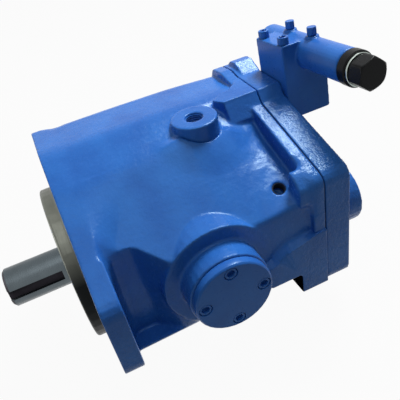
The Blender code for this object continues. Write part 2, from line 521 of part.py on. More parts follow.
def build_compensator():
    """Pressure compensator: body with bore, spool, spring, seat and the screwed adjusting plug."""
    along = (0, 1, 0)
    barrel = turned([(COMP_NEAR, 0), (COMP_NEAR, COMP_BARREL - 1), (COMP_NEAR + 1, COMP_BARREL),
                     (COMP_FAR, COMP_BARREL), (COMP_FAR, 0)], along, steps=32)
    body = piece("compensator_body", tilted(barrel), BLUE, 0.0, 0.38)
    block = rounded([(COMP_BLOCK_FRONT, COMP_BLOCK_BOTTOM, 2), (COMP_BLOCK_REAR, COMP_BLOCK_BOTTOM, 2),
                     (COMP_BLOCK_REAR, -2, 6), (3, COMP_LEDGE, 0), (COMP_BLOCK_FRONT, COMP_LEDGE, 1.5)], 3)
    bosses = [tilted(rod(9, 14.4, 5.4, (0, 0, 1), (x, y, 0), 16)) for x, y in COMP_PLUGS]
    combine(body, "UNION", [tilted(prism(block, 0, COMP_BLOCK_FAR, "Y"))] + bosses)
    bore = turned([(COMP_NEAR - 3, 0), (COMP_NEAR - 3, 11), (5, 11), (5, 6.2), (46, 6.2), (46, 8.2),
                   (COMP_FAR + 3, 8.2), (COMP_FAR + 3, 0)], along, steps=20)
    cuts = [tilted(bore)]
    cuts += [tilted(rod(-12, 3, 3.3, (0, 0, 1), (x, y, COMP_LEDGE), 10)) for x, y in COMP_SCREWS]
    cuts += [tilted(rod(11.6, 20, 3.3, (0, 0, 1), (x, y, 0), 12)) for x, y in COMP_PLUGS]
    combine(body, "DIFFERENCE", cuts)
    for number, (x, y) in enumerate(COMP_SCREWS, 1):
        shape = turned([(-11, 0), (-11, 3), (GAP, 3), (GAP, 4.5), (5.2, 4.5), (6, 3.7), (6, 0)], (0, 0, 1),
                       (x, y, COMP_LEDGE), 12)
        piece(f"compensator_screw_{number}", tilted(shape), BLUE, 0.0, 0.4)
    for number, (x, y) in enumerate(COMP_PLUGS, 1):
        head = prism([spot + Vector((x, y)) for spot in ring_points(4.2, 6)], 14.7, 20.8, "Z")
        plug = piece(f"pipe_plug_{number}", tilted(head), BLUE, 0.0, 0.4)
        combine(plug, "UNION", [tilted(rod(11.9, 16, 3, (0, 0, 1), (x, y, 0), 12))])
    end = turned([(47, 0), (47, 7.9), (COMP_FAR + GAP, 7.9), (COMP_FAR + GAP, 10), (COMP_FAR + 5, 10),
                  (COMP_FAR + 5, 0)], along, steps=6)
    piece("end_plug", tilted(end), BLUE, 0.0, 0.4)
    spool = turned([(-2, 0), (-2, 5), (1, 5), (1, 9.6), (3.6, 9.6), (3.6, 4), (9, 4), (9, 5.7), (22, 5.7),
                    (22, 4), (34, 4), (34, 5.7), (43, 5.7), (43, 0)], along, steps=12)
    piece("spool", tilted(spool), STEEL, 1.0, 0.2, comp_point((0, 7, 0)))
    seat = turned([(-33, 0), (-33, 10.5), (-29, 10.5), (-29, 6), (-24, 6), (-24, 0)], along, steps=20)
    piece("spring_seat", tilted(seat), STEEL, 1.0, 0.3, comp_point((0, -29, 0)))
    piece("compensator_spring", tilted(coil(-28.6, 0.6, 8.2, 1.2, 5, along)), STEEL, 1.0, 0.35)
    nut = tube(NUT_END, COMP_NEAR - GAP, 10.4, 13.3, along, steps=24)
    piece("lock_nut", tilted(nut), BLACK, 0.6, 0.4, comp_point((0, NUT_END + 4.5, 0)))
    washer = tube(WASHER_END, NUT_END - GAP, 10.4, 12.9, along, steps=24)
    piece("bright_washer", tilted(washer), STEEL, 1.0, 0.2, comp_point((0, NUT_END - 1, 0)))
    head = prism(ring_points(11.8, 6, math.radians(20)), ADJUSTER_END, WASHER_END - GAP, "Y")
    plug = piece("adjusting_plug", tilted(head), BLACK, 0.6, 0.38, comp_point((0, ADJUSTER_END + 7, 0)))
    shank = turned([(WASHER_END - 4, 0), (WASHER_END - 4, 10), (-33.4, 10), (-33.4, 0)], along, steps=20)
    combine(plug, "UNION", [tilted(shank)])


clear_scene()
build_housing()
build_valve_plate()
build_covers()
build_shaft()
build_yoke()
build_rotating_group()
build_control()
build_compensator()
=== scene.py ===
"""Looks of a variable axial piston pump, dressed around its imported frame.

The castings are fine copies of the frame's solids with crisp outer edges and cast fillets in the corners.
Heads, nuts and threads are surfaces worked out on grids. Lengths are metres, X runs from the shaft end to
the rear, Y across along the trunnions and Z up.
"""

import math

import bmesh
import bpy
import numpy as np
from bpy.props import FloatProperty, FloatVectorProperty, PointerProperty
from mathutils import Matrix, Vector


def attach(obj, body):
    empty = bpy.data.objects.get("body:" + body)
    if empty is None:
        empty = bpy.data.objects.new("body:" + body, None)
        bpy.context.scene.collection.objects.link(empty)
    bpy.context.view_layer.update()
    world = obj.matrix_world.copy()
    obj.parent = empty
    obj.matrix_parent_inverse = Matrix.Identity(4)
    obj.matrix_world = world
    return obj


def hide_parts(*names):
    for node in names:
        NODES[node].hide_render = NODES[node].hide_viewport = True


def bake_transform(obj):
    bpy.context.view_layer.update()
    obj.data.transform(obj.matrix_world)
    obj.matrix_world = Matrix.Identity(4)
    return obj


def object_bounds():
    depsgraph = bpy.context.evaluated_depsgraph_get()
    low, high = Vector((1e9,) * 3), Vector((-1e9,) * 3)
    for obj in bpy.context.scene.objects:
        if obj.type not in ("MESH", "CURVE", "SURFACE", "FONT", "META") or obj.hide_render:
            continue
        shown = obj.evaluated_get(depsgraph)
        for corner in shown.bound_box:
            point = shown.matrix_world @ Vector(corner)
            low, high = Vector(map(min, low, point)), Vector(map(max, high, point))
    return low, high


bl_info = {
    "name": "Axial Piston Pump",
    "version": (1, 0, 0),
    "blender": (4, 5, 0),
    "location": "3D View > Sidebar > Pump",
    "description": "Dresses the frame of an axial piston pump with castings, finishes and a stage",
    "category": "Object",
}

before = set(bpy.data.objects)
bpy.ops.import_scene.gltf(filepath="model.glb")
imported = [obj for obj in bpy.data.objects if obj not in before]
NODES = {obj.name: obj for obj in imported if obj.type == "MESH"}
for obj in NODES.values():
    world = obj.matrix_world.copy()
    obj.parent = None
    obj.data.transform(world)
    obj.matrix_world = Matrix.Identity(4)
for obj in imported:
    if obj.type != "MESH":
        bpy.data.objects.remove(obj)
CAD_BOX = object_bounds()
CASING = "casing"
MM = 0.001
ROUND = math.inf

# Camera of the view, from its place and the three directions of its picture
CAMERA_PLACE = (0.015634, -0.328282, 0.267216)
CAMERA_RIGHT = (0.902456, -0.394470, -0.173110)
CAMERA_UP = (0.370603, 0.506086, 0.778800)
CAMERA_LENS = 44.79

# Places that the details sit on, in millimetres as in the solids
COMP_CENTRE = (225.0, 0.0, 105.0)
COMP_TILT = math.radians(-5)
COMP_NEAR = -52.0
COMP_LEDGE = 11.5
COMP_SCREWS = ((-19.5, 37.0), (-19.5, 6.0))
COMP_PLUGS = ((0.5, 28.0), (0.5, -4.0))
NUT_END = COMP_NEAR - 9.0
WASHER_END = NUT_END - 1.8
ADJUSTER_END = WASHER_END - 13.7
SHAFT_END = -60.6

# Centre hole of the shaft as (depth, radius), and the band of radii and the rear end of the keyway's floor,
# which is painted dark steel as its shade
CENTRE_HOLE = ((-1, 0.0), (-1, 5.0), (6.2, 1.6), (11, 1.6), (11.8, 0.0))
KEYWAY_BAND = (8, 15.475)
KEYWAY_REAR = -16.5

# Skin of the castings: boxes that relax more, the share of a relaxing step, and where fillets grow
SOFT_ZONES = (((8, -72, 34), (27, 90, 95), 60), ((158, -94, 18), (178, -56, 66), 50))
RELAX = 0.5
OUTER_LEAN = -0.2
FILLET_START = 24.0

# Bare parts and painted shade: how far back flange face and pilot reach, how a face looks forward, and the
# other limits
FLANGE_FACE = 0.4
FACE_LEAN = -0.8
PILOT_FRONT = -0.5
PILOT_EDGE = 62.6
# Front end of the foot that takes a dark matt skin as painted shade: its box and how its face leans
FOOT_SHADE_END = ((152, -90, -56), (156, 0, -33))
FOOT_SHADE_LEAN = -0.7
REAR_SKIN = 160.0
LUG_SKIN = 79.0

# Chamfer of the foot: its wall, the height of its upper edge and its fall along x, and the boss beside it
FOOT_WALL = -80.3
FOOT_TOP = ((104, 112, 131.5, 147, 178.3), (-17.5, -14, -6.8, 2.2, 4.2))
FOOT_FALL = ((112, 135, 150, 172), (0.55, 0.7, 0.7, 0.0))
FOOT_SPAN = (104, 176)
FOOT_CEILING = 8
TRUNNION_X = 89.5
BOSS_EDGE = 31.9

# Swell beside the drain boss: the boss's centre and radius, the swell's height, reach and fade across the top
DRAIN = (119.0, 0.0, 18.9)
SWELL_LIFT = 4.2
SWELL_REACH = 24
SWELL_SIDE = -2
SWELL_FADE = 9
SWELL_HEIGHTS = (55, 85)

# Fill behind the flange: the flanks as (height, rise, at y), and where the fill ends along x
FLANGE_FLANK = (73.2, 0.471, -20.9)
CASE_FLANK = (66.7, 0.681, -27.7)
RUN_START = 13.0
RUN_END = ((-64, -58, -20), (18, 26, 62))
RUN_SIDES = (-66, -6)
RUN_FADES = (6, 14)
SKIN_DEPTH = 1.2

# Threads: rows for one pitch, depth and wall behind it, then name, place, way, low, high, bore and finish
THREAD_ROWS = 6
THREAD_DEPTH = 0.8
THREAD_BACK = 0.15
GAUGE_SLOPE = (0.0, -0.4, 0.917)
THREADS = (("drain_thread", (DRAIN[0], DRAIN[1], 0.0), (0, 0, 1), 70.0, 85.2, 7.0, "machined_enamel"),
           # The gauge hole's thread takes the dark gasket fibre finish as painted shade, so the hole shows
           # black
           ("gauge_thread", (153.3, -63.0, 40.8), GAUGE_SLOPE, -8.0, -1.0, 5.2, "fibre_and_hole_shade"),
           ("near_port_thread", (0.0, -50.0, 0.0), (1, 0, 0), 196.0, 218.6, 14.8, "turned_iron"),
           ("far_port_thread", (0.0, 50.0, 0.0), (1, 0, 0), 196.0, 218.6, 14.8, "turned_iron"))

# Adjuster and small screws: the gap that keeps seats apart, then each piece's radii, half widths and ends
CLEAR = 0.3
PLUG_SHANK = 10.0
PLUG_FOOT = -33.4
PLUG_LEAD = 0.8
PLUG_FLAT = 10.7
PLUG_TURN = math.radians(-20)
RING_BORE = 10.4
NUT_RADIUS = 13.3
WASHER_RADIUS = 12.0
SCREW_SHANK = 3.0
SCREW_DEPTH = -11.0
HEX_PLUG_SEAT = -14.7
HEX_PLUG_TOP = -20.8
HEX_PLUG_DEPTH = -11.9
HEX_PLUG_FLAT = 3.64

# Springs: rows for one turn, then ends, radius of the winding, radius of the wire and turns
COIL_ROWS = 24
COIL_ENDS = (-28.6, 0.6)
COIL_RADIUS = 8.2
COIL_WIRE = 1.2
COIL_TURNS = 5
YOKE_COIL_ENDS = (81.5, 172.6)
YOKE_COIL_AXIS = (0.0, 28.0, -62.0)
YOKE_COIL_RADIUS = 9.2
YOKE_COIL_WIRE = 1.6
YOKE_COIL_TURNS = 6
POCKET_MOUTH = 106.0

# Shading: the edge angle that counts as sharp, and how near an axis a normal lies on a flat face
SPLIT_ANGLE = math.radians(34)
FLAT_LEAN = 0.99999

# Finishes, in metres: widths of the enamel's slow swell and tone and of smears on metal, heights on the iron
# between which its painted shade, darkest below, gives way to the plain metal, and depth of a tool line
SWELL_WIDTH = 0.012
TONE_WIDTH = 0.035
SMEAR_WIDTH = 0.009
SHADE_FULL_BELOW = 0.024
SHADE_GONE_ABOVE = 0.072
CUT_DEPTH = 0.000012

# Stage, in metres: lamps as name, place, size and power, the point that they look at, and the floor
LAMPS = (("key", (0.73, 0.38, 1.11), 0.42, 24.0), ("top", (0.00, -0.35, 1.30), 1.0, 4.5),
         ("side", (-1.1, 0.30, 0.10), 0.6, 5.0))
LAMP_AIM = (0.08, 0, 0)
FILL_LIGHT = 0.08
FLOOR_WHITE = 0.95
FLOOR_SIDE = 6.0
FLOOR_GAP = 0.0005


def linear(code):
    """Linear RGBA of an sRGB hex colour."""
    parts = [int(code[place:place + 2], 16) / 255 for place in (1, 3, 5)]
    bent = [part / 12.92 if part <= 0.04045 else ((part + 0.055) / 1.055) ** 2.4 for part in parts]
    return (*bent, 1.0)


def colour(name, description, code):
    """A colour that a user can change."""
    return FloatVectorProperty(name=name, description=description, subtype="COLOR", size=4, min=0.0, max=1.0,
                               default=linear(code))


def length(name, description, default, low, high):
    """A length that a user can change."""
    return FloatProperty(name=name, description=description, default=default, min=low, max=high,
                         unit="LENGTH")


class PumpColours(bpy.types.PropertyGroup):
    """Colours of the finishes."""

    enamel: colour("Enamel", "Blue machine enamel in the light", "#2B66B4")
    enamel_deep: colour("Enamel, deep", "Blue enamel where it lies thicker", "#2459A6")
    sheen: colour("Enamel sheen", "Tint of the light that the enamel throws back", "#CDF3FF")
    steel: colour("Ground steel", "Bare ground steel of shaft and pistons", "#5E676C")
    iron: colour("Turned iron", "Bare turned cast iron of the pilot", "#85887F")
    oxide: colour("Black oxide", "Blackened steel of plug and lock nut", "#0B0C0E")
    zinc: colour("Bright zinc", "Bright plating of the washer", "#B9C4BE")
    bronze: colour("Bearing bronze", "Bronze of shoes and wear plate", "#A8793F")
    rubber: colour("Seal rubber", "Black nitrile rubber", "#1A1A1B")
    # The fibre colour also darkens the gauge hole as painted shade
    fibre: colour("Gasket fibre", "Dark pressed fibre of the gasket", "#1B2230")
    floor: colour("Floor", "Pale studio floor", "#8E8E8E")


class PumpSizes(bpy.types.PropertyGroup):
    """Sizes of the dressed details."""

    case_grain: length("Case grain", "Cell of the rebuilt case", 0.0009, 0.0008, 0.004)
    plate_grain: length("Plate grain", "Cell of the rebuilt valve plate", 0.0008, 0.0008, 0.004)
    small_grain: length("Small grain", "Cell of the rebuilt compensator", 0.0007, 0.0004, 0.003)
    grit: length("Sand grit", "Width of a grain on the cast skin", 0.0017, 0.0004, 0.004)
    edge: length("Machined edge", "Width of the broken edge on machined pieces", 0.0005, 0.0001, 0.002)
    pitch: length("Thread pitch", "Pitch of the tapped holes", 0.0018, 0.0008, 0.004)


def colours():
    """The colour settings of this scene."""
    return bpy.context.scene.pump_colours


def sizes():
    """The size settings of this scene."""
    return bpy.context.scene.pump_sizes


def add(tree, kind, inputs=None, **settings):
    """Add a node, set its settings, and set or link its inputs."""
    made = tree.nodes.new(kind)
    for key, value in settings.items():
        setattr(made, key, value)
    for key, value in (inputs or {}).items():
        if isinstance(value, bpy.types.NodeSocket):
            tree.links.new(value, made.inputs[key])
        else:
            made.inputs[key].default_value = value
    return made


def new_material(name):
    """An empty node material with its Principled shader: (material, tree, shader, object coordinates)."""
    made = bpy.data.materials.new(name)
    made.use_nodes = True
    tree = made.node_tree
    shader = tree.nodes["Principled BSDF"]
    place = add(tree, "ShaderNodeTexCoord").outputs["Object"]
    return made, tree, shader, place


def sand_cast_enamel(name="sand_cast_enamel", rough=0.26, depth=0.00026, swell_depth=0.0006):
    """Brushed machine enamel on sand-cast iron: a glossy blue skin that dips and sparkles over the grain."""
    made, tree, shader, place = new_material(name)
    grit = sizes().grit
    grain = add(tree, "ShaderNodeTexNoise", {"Vector": place, "Scale": 1 / (2 * grit), "Detail": 3.0,
                                             "Roughness": 0.6})
    swell = add(tree, "ShaderNodeTexNoise", {"Vector": place, "Scale": 1 / SWELL_WIDTH, "Detail": 2.0})
    tone = add(tree, "ShaderNodeTexNoise", {"Vector": place, "Scale": 1 / TONE_WIDTH, "Detail": 4.0})
    shade = add(tree, "ShaderNodeMapRange", {"Value": tone.outputs["Fac"], "From Min": 0.35,
                                             "From Max": 0.65})
    body = add(tree, "ShaderNodeMix", {"Factor": shade.outputs["Result"], "A": colours().enamel,
                                       "B": colours().enamel_deep}, data_type="RGBA")
    gloss = add(tree, "ShaderNodeMapRange", {"Value": grain.outputs["Fac"], "From Min": 0.3, "From Max": 0.7,
                                             "To Min": rough - 0.08, "To Max": rough + 0.06})
    low = add(tree, "ShaderNodeBump", {"Height": swell.outputs["Fac"], "Distance": swell_depth,
                                       "Strength": 0.5})
    fine = add(tree, "ShaderNodeBump", {"Height": grain.outputs["Fac"], "Distance": depth, "Strength": 0.9,
                                        "Normal": low.outputs["Normal"]})
    tree.links.new(body.outputs["Result"], shader.inputs["Base Color"])
    tree.links.new(gloss.outputs["Result"], shader.inputs["Roughness"])
    tree.links.new(fine.outputs["Normal"], shader.inputs["Normal"])
    shader.inputs["IOR"].default_value = 1.5
    shader.inputs["Specular IOR Level"].default_value = 0.18
    shader.inputs["Specular Tint"].default_value = colours().sheen
    return made


def machined_metal(name, tint, rough, line_mm, way, underside_shade=None):
    """Turned or ground metal: fine tool lines across the way of the cut, drawn coarser than real to show.

    Given a darker colour for the underside, the metal takes it low down as painted shade, fading to its own
    colour higher up.
    """
    made, tree, shader, place = new_material(name)
    lines = add(tree, "ShaderNodeTexNoise", {"Scale": 1.0, "Detail": 2.0, "Roughness": 0.7})
    stretch = add(tree, "ShaderNodeMapping", {"Vector": place})
    stretch.inputs["Scale"].default_value = [1000 / line_mm if axis == way else 60 for axis in range(3)]
    tree.links.new(stretch.outputs["Vector"], lines.inputs["Vector"])
    smear = add(tree, "ShaderNodeTexNoise", {"Vector": place, "Scale": 1 / SMEAR_WIDTH, "Detail": 3.0})
    tone = add(tree, "ShaderNodeMix", {"Factor": smear.outputs["Fac"], "A": tint,
                                       "B": [part * 0.66 for part in tint[:3]] + [1.0]}, data_type="RGBA")
    if underside_shade:
        # Painted shade: darker towards the bottom, the plain colour above the higher line
        height = add(tree, "ShaderNodeSeparateXYZ", {"Vector": place}).outputs["Z"]
        lit_share = add(tree, "ShaderNodeMapRange", {"Value": height, "From Min": SHADE_FULL_BELOW, "From Max": SHADE_GONE_ABOVE})
        tone = add(tree, "ShaderNodeMix", {"Factor": lit_share.outputs["Result"], "A": underside_shade,
                                           "B": tone.outputs["Result"]}, data_type="RGBA")
    gloss = add(tree, "ShaderNodeMapRange", {"Value": lines.outputs["Fac"], "From Min": 0.3, "From Max": 0.7,
                                             "To Min": rough - 0.07, "To Max": rough + 0.09})
    cut = add(tree, "ShaderNodeBump", {"Height": lines.outputs["Fac"], "Distance": CUT_DEPTH,
                                       "Strength": 0.7})
    tree.links.new(tone.outputs["Result"], shader.inputs["Base Color"])
    tree.links.new(gloss.outputs["Result"], shader.inputs["Roughness"])
    tree.links.new(cut.outputs["Normal"], shader.inputs["Normal"])
    shader.inputs["Metallic"].default_value = 1.0
    return made


def matt_skin(name, tint, rough, grain_mm, depth, shine=0.1):
    """Rubber, fibre, blackened steel or painted shade: an even dark skin with a fine grain that breaks the
    shine.
    """
    made, tree, shader, place = new_material(name)
    grain = add(tree, "ShaderNodeTexNoise", {"Vector": place, "Scale": 1000 / (2 * grain_mm),
                                             "Detail": 3.0})
    tone = add(tree, "ShaderNodeMix", {"Factor": grain.outputs["Fac"], "A": tint,
                                       "B": [part * 1.5 for part in tint[:3]] + [1.0]}, data_type="RGBA")
    gloss = add(tree, "ShaderNodeMapRange", {"Value": grain.outputs["Fac"], "From Min": 0.3, "From Max": 0.7,
                                             "To Min": rough - 0.08, "To Max": rough + 0.08})
    rise = add(tree, "ShaderNodeBump", {"Height": grain.outputs["Fac"], "Distance": depth, "Strength": 0.7})
    tree.links.new(tone.outputs["Result"], shader.inputs["Base Color"])
    tree.links.new(gloss.outputs["Result"], shader.inputs["Roughness"])
    tree.links.new(rise.outputs["Normal"], shader.inputs["Normal"])
    shader.inputs["Specular IOR Level"].default_value = shine
    return made


def finish_of(name):
    """The finish with this name, made the first time that it is asked for."""
    if name in bpy.data.materials:
        return bpy.data.materials[name]
    tints = colours()
    makers = {
        # Enamel by roughness, depth of grain and of swell: glossy and lively, rougher still, nearly smooth
        "sand_cast_enamel": sand_cast_enamel,
        "coarse_cast_enamel": lambda: sand_cast_enamel("coarse_cast_enamel", 0.24, 0.0006),
        "machined_enamel": lambda: sand_cast_enamel("machined_enamel", 0.33, 0.00006, 0.0002),
        # Bare metal by roughness, width of a tool line and the axis that the lines step along
        "bare_ground_steel": lambda: machined_metal("bare_ground_steel", tints.steel, 0.28, 0.5, 0),
        # Dark steel for the keyway's floor, as painted shade
        "painted_shade_steel": lambda: machined_metal("painted_shade_steel", linear("#302E34"), 0.5, 0.8, 0),
        # Turned iron with painted shade towards its underside
        "turned_iron": lambda: machined_metal("turned_iron", tints.iron, 0.38, 0.6, 0, linear("#191B1C")),
        "faced_iron": lambda: machined_metal("faced_iron", tints.iron, 0.42, 0.9, 2),
        "bearing_bronze": lambda: machined_metal("bearing_bronze", tints.bronze, 0.34, 0.5, 0),
        "bright_zinc": lambda: machined_metal("bright_zinc", tints.zinc, 0.24, 0.4, 1),
        # Dark skins by roughness, width and depth of the grain, and shine
        "oxide_black": lambda: matt_skin("oxide_black", tints.oxide, 0.34, 0.5, 0.00002),
        # Dark matt skin for the foot's front end, as painted shade
        "painted_shade_casting": lambda: matt_skin("painted_shade_casting", tints.oxide, 0.9, 1.2, 0.00005, 0.0),
        "nitrile_rubber": lambda: matt_skin("nitrile_rubber", tints.rubber, 0.6, 0.6, 0.00003),
        # Gasket fibre, also put in the gauge hole as painted shade
        "fibre_and_hole_shade": lambda: matt_skin("fibre_and_hole_shade", tints.fibre, 0.7, 0.8, 0.00005),
    }
    return makers[name]()


def dress(obj, finish):
    """Give an object one finish in place of what it had."""
    obj.data.materials.clear()
    obj.data.materials.append(finish_of(finish))


def even_shading(obj):
    """Shade all faces of a mesh as parts of one smooth surface."""
    obj.data.polygons.foreach_set("use_smooth", np.ones(len(obj.data.polygons), bool))


def values_of(items, name, width, kind=float):
    """One property of all items of a mesh, as an array with that many columns."""
    values = np.empty(len(items) * width, kind)
    items.foreach_get(name, values)
    return values.reshape(-1, width)


def face_places(obj):
    """Centres and normals of an object's faces, as arrays."""
    faces = obj.data.polygons
    return values_of(faces, "center", 3), values_of(faces, "normal", 3)


def break_edges(obj):
    """Break the sharp edges of a machined piece with a narrow round and keep its flat faces flat."""
    round_off = obj.modifiers.new("broken_edge", "BEVEL")
    round_off.width = sizes().edge
    round_off.segments = 2
    round_off.limit_method = "ANGLE"
    round_off.angle_limit = SPLIT_ANGLE
    round_off.harden_normals = True


def smooth_node(name, finish):
    """Show a frame node with its own solid: welded for shading, with its real edges broken."""
    obj = NODES[name]
    dress(obj, finish)
    normals = face_places(obj)[1]
    obj.data.polygons.foreach_set("use_smooth", np.abs(normals).max(axis=1) < FLAT_LEAN)
    weld = obj.modifiers.new("weld", "WELD")
    weld.merge_threshold = 1e-6
    break_edges(obj)


def comp_place():
    """Matrix from the compensator's own frame, Y along its bore, to the pump."""
    return Matrix.Translation([part * MM for part in COMP_CENTRE]) @ Matrix.Rotation(COMP_TILT, 4, "X")


def along_axis(place, way):
    """Matrix that stands a turned piece with its axis on way, at a place in millimetres."""
    turn = Vector((0, 0, 1)).rotation_difference(Vector(way)).to_matrix().to_4x4()
    return Matrix.Translation([part * MM for part in place]) @ turn


def grid_object(name, points, matrix, loop=False):
    """Closed object from a grid of points (rows, columns, 3) in millimetres that runs round in its columns.

    Rows join to the next row, and with loop the last joins the first; rows of no radius become one point.
    """
    rows, columns = points.shape[:2]
    row, column = np.meshgrid(np.arange(rows if loop else rows - 1), np.arange(columns), indexing="ij")
    after = (column + 1) % columns
    below = (row + 1) % rows
    quads = np.stack([row * columns + column, row * columns + after, below * columns + after,
                      below * columns + column], axis=-1).reshape(-1, 4)
    mesh = bpy.data.meshes.new(name)
    mesh.from_pydata((points.reshape(-1, 3) * MM).tolist(), [], quads.tolist())
    mesh.transform(matrix)
    shape = bmesh.new()
    shape.from_mesh(mesh)
    bmesh.ops.remove_doubles(shape, verts=shape.verts, dist=1e-7)
    bmesh.ops.recalc_face_normals(shape, faces=shape.faces)
    shape.to_mesh(mesh)
    shape.free()
    obj = bpy.data.objects.new(name, mesh)
    bpy.context.scene.collection.objects.link(obj)
    even_shading(obj)
    return obj


def grid_piece(name, points, matrix, body, finish, loop=False):
    """A grid object with its edges split for shading, dressed, and riding on a body."""
    obj = grid_object(name, points, matrix, loop)
    split = obj.modifiers.new("edges", "EDGE_SPLIT")
    split.split_angle = SPLIT_ANGLE
    dress(obj, finish)
    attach(obj, body)
    return obj


def turned_grid(rows, columns=72, turn=0.0):
    """Grid of a turned piece with flats, r(a, t) = min(limit, flat / cos((t - turn) mod 60 deg - 30 deg)).

    Each row is (along, limit, flat): limit is the round radius there, and flat is half the hexagon's width
    across its flats, or ROUND where the row is a plain circle.
    """
    table = np.array(rows)
    angle = np.arange(columns) * math.tau / columns
    lean = np.cos((angle - turn) % (math.pi / 3) - math.pi / 6)
    radius = np.minimum(table[:, 1:2], table[:, 2:3] / lean)
    across = radius * np.cos(angle)
    up = radius * np.sin(angle)
    return np.stack([across, up, np.broadcast_to(table[:, :1], radius.shape)], axis=-1)


def hexagon_head(low, high, flat, chamfer, steps=5):
    """Rows of a hexagon head from its face at low to its seat at high, both faces chamfered to a circle."""
    corner = flat / math.cos(math.pi / 6)
    face = flat * 0.97
    rise = np.linspace(0, chamfer, steps)
    reach = np.linspace(face, corner, steps)
    rows = [(low, 0.0, flat)]
    rows += [(low + up, out, flat) for up, out in zip(rise, reach)]
    rows += [(high - up, out, flat) for up, out in zip(rise[::-1], reach[::-1])]
    return rows


def socket_head(seat, top, radius, flat, depth):
    """Rows of a cap screw's head from its seat to the floor of its socket, with a rounded top edge."""
    bend = np.radians(np.linspace(0, 90, 4))
    edge = 0.9
    mouth, corner = flat * 1.25, flat * 1.16
    lead, cone = 0.4, 0.6
    rows = [(seat, radius, ROUND)]
    rise = top - edge + edge * np.sin(bend)
    reach = radius - edge + edge * np.cos(bend)
    rows += [(up, out, ROUND) for up, out in zip(rise, reach)]
    rows += [(top, mouth, ROUND), (top - lead, corner, flat), (top - depth, corner, flat),
             (top - depth - cone, 0.0, flat)]
    return rows


def ring_rows(low, high, inner, outer, chamfer):
    """Rows of a ring with chamfered outer and inner edges, as one closed loop."""
    half = chamfer / 2
    return [(low, inner + half, ROUND), (low, outer - chamfer, ROUND), (low + chamfer, outer, ROUND),
            (high - chamfer, outer, ROUND), (high, outer - chamfer, ROUND), (high, inner + half, ROUND),
            (high - half, inner, ROUND), (low + half, inner, ROUND)]


def thread_grid(low, high, bore, depth, pitch, columns=36):
    """Grid of a tapped sleeve: r(a, t) = bore - depth |2 frac(a / pitch - t / 2 pi) - 1|, its back plain."""
    along = np.linspace(low, high, int((high - low) / pitch * THREAD_ROWS))
    angle = np.arange(columns) * math.tau / columns
    phase = (along[:, None] / pitch - angle[None, :] / math.tau) % 1.0
    radius = bore - depth * np.abs(2 * phase - 1)
    back = np.full((2, columns), bore + THREAD_BACK)
    radius = np.concatenate([radius, back])
    along = np.concatenate([along, [high, low]])
    place = np.broadcast_to(along[:, None], radius.shape)
    return np.stack([radius * np.cos(angle), radius * np.sin(angle), place], axis=-1)


def coil_grid(low, high, radius, wire, start, end, sides=10):
    """Grid of a wound wire: c(t) = (R cos t, R sin t, low + (high - low) (t - start) / (end - start)), and
    p(t, s) = c(t) + w (cos s outward + sin s along). Its ends close to a point on the wire's centre.
    """
    turn = np.linspace(start, end, int((end - start) / math.tau * COIL_ROWS))
    turn = np.concatenate([turn[:1], turn, turn[-1:]])
    thick = np.full(len(turn), wire)
    thick[[0, -1]] = 0.0
    side = np.arange(sides) * math.tau / sides
    reach = radius + thick[:, None] * np.cos(side)
    along = low + (high - low) * (turn - start) / (end - start)
    along = along[:, None] + thick[:, None] * np.sin(side)
    return np.stack([reach * np.cos(turn)[:, None], reach * np.sin(turn)[:, None], along], axis=-1)


def relax(points, edges, weight_of, rounds):
    """Move points towards the mean of their neighbours: p' = p + w (mean(p_j) - p), as whole arrays."""
    count = np.bincount(edges.ravel(), minlength=len(points)).astype(float)
    for _ in range(rounds):
        total = np.empty_like(points)
        for axis in range(3):
            first = np.bincount(edges[:, 0], points[edges[:, 1], axis], len(points))
            total[:, axis] = first + np.bincount(edges[:, 1], points[edges[:, 0], axis], len(points))
        step = total / count[:, None] - points
        points = points + weight_of(step)[:, None] * step
    return points


def merged_copy(name, node):
    """A copy of a frame node as a new object, its corner points merged."""
    mesh = NODES[node].data.copy()
    shape = bmesh.new()
    shape.from_mesh(mesh)
    bmesh.ops.remove_doubles(shape, verts=shape.verts, dist=1e-6)
    shape.to_mesh(mesh)
    shape.free()
    obj = bpy.data.objects.new(name, mesh)
    bpy.context.scene.collection.objects.link(obj)
    return obj


def settle(obj):
    """Put the result of an object's modifiers into its mesh and take the modifiers off."""
    bpy.context.view_layer.update()
    made = bpy.data.meshes.new_from_object(obj.evaluated_get(bpy.context.evaluated_depsgraph_get()))
    obj.modifiers.clear()
    obj.data = made


def inside(points, low, high, rim=3 * MM):
    """Weight of points in a box, its corners in millimetres: 0 at its faces, 1 from rim inside them on."""
    depth = np.minimum(points - np.array(low) * MM, np.array(high) * MM - points).min(axis=1)
    return np.clip(depth / rim, 0.0, 1.0)


def foot_chamfer(points):
    """Lower the foot's near top edge to z(x, y) = top(x) - fall(x) (wall - y), as its cast chamfer."""
    x, y, z = points.T / MM
    limit = np.interp(x, *FOOT_TOP) - np.interp(x, *FOOT_FALL) * (FOOT_WALL - y)
    touched = (y < FOOT_WALL) & (x > FOOT_SPAN[0]) & (x < FOOT_SPAN[1]) & (z > limit) & (z < FOOT_CEILING)
    touched &= np.hypot(x - TRUNNION_X, z) > BOSS_EDGE
    points[touched, 2] = limit[touched] * MM
    return points


def drain_swell(points):
    """Raise the skin beside the drain boss by h (3 u^2 - 2 u^3), with u falling from 1 to 0 away from it."""
    x, y, z = points.T / MM
    low, high = SWELL_HEIGHTS
    away = np.hypot(x - DRAIN[0], y - DRAIN[1]) - DRAIN[2]
    near = np.clip(1 - away / SWELL_REACH, 0, 1) * np.clip((SWELL_SIDE - y) / SWELL_FADE, 0, 1)
    lift = SWELL_LIFT * near * near * (3 - 2 * near)
    raised = np.minimum(z + lift, high)
    touched = (away > 0) & (z > low) & (z < high)
    points[touched, 2] = raised[touched] * MM
    return points


def flank_height(y, flank):
    """Height of a sloping flank at y: h + rise (y - place)."""
    height, rise, place = flank
    return height + rise * (y - place)


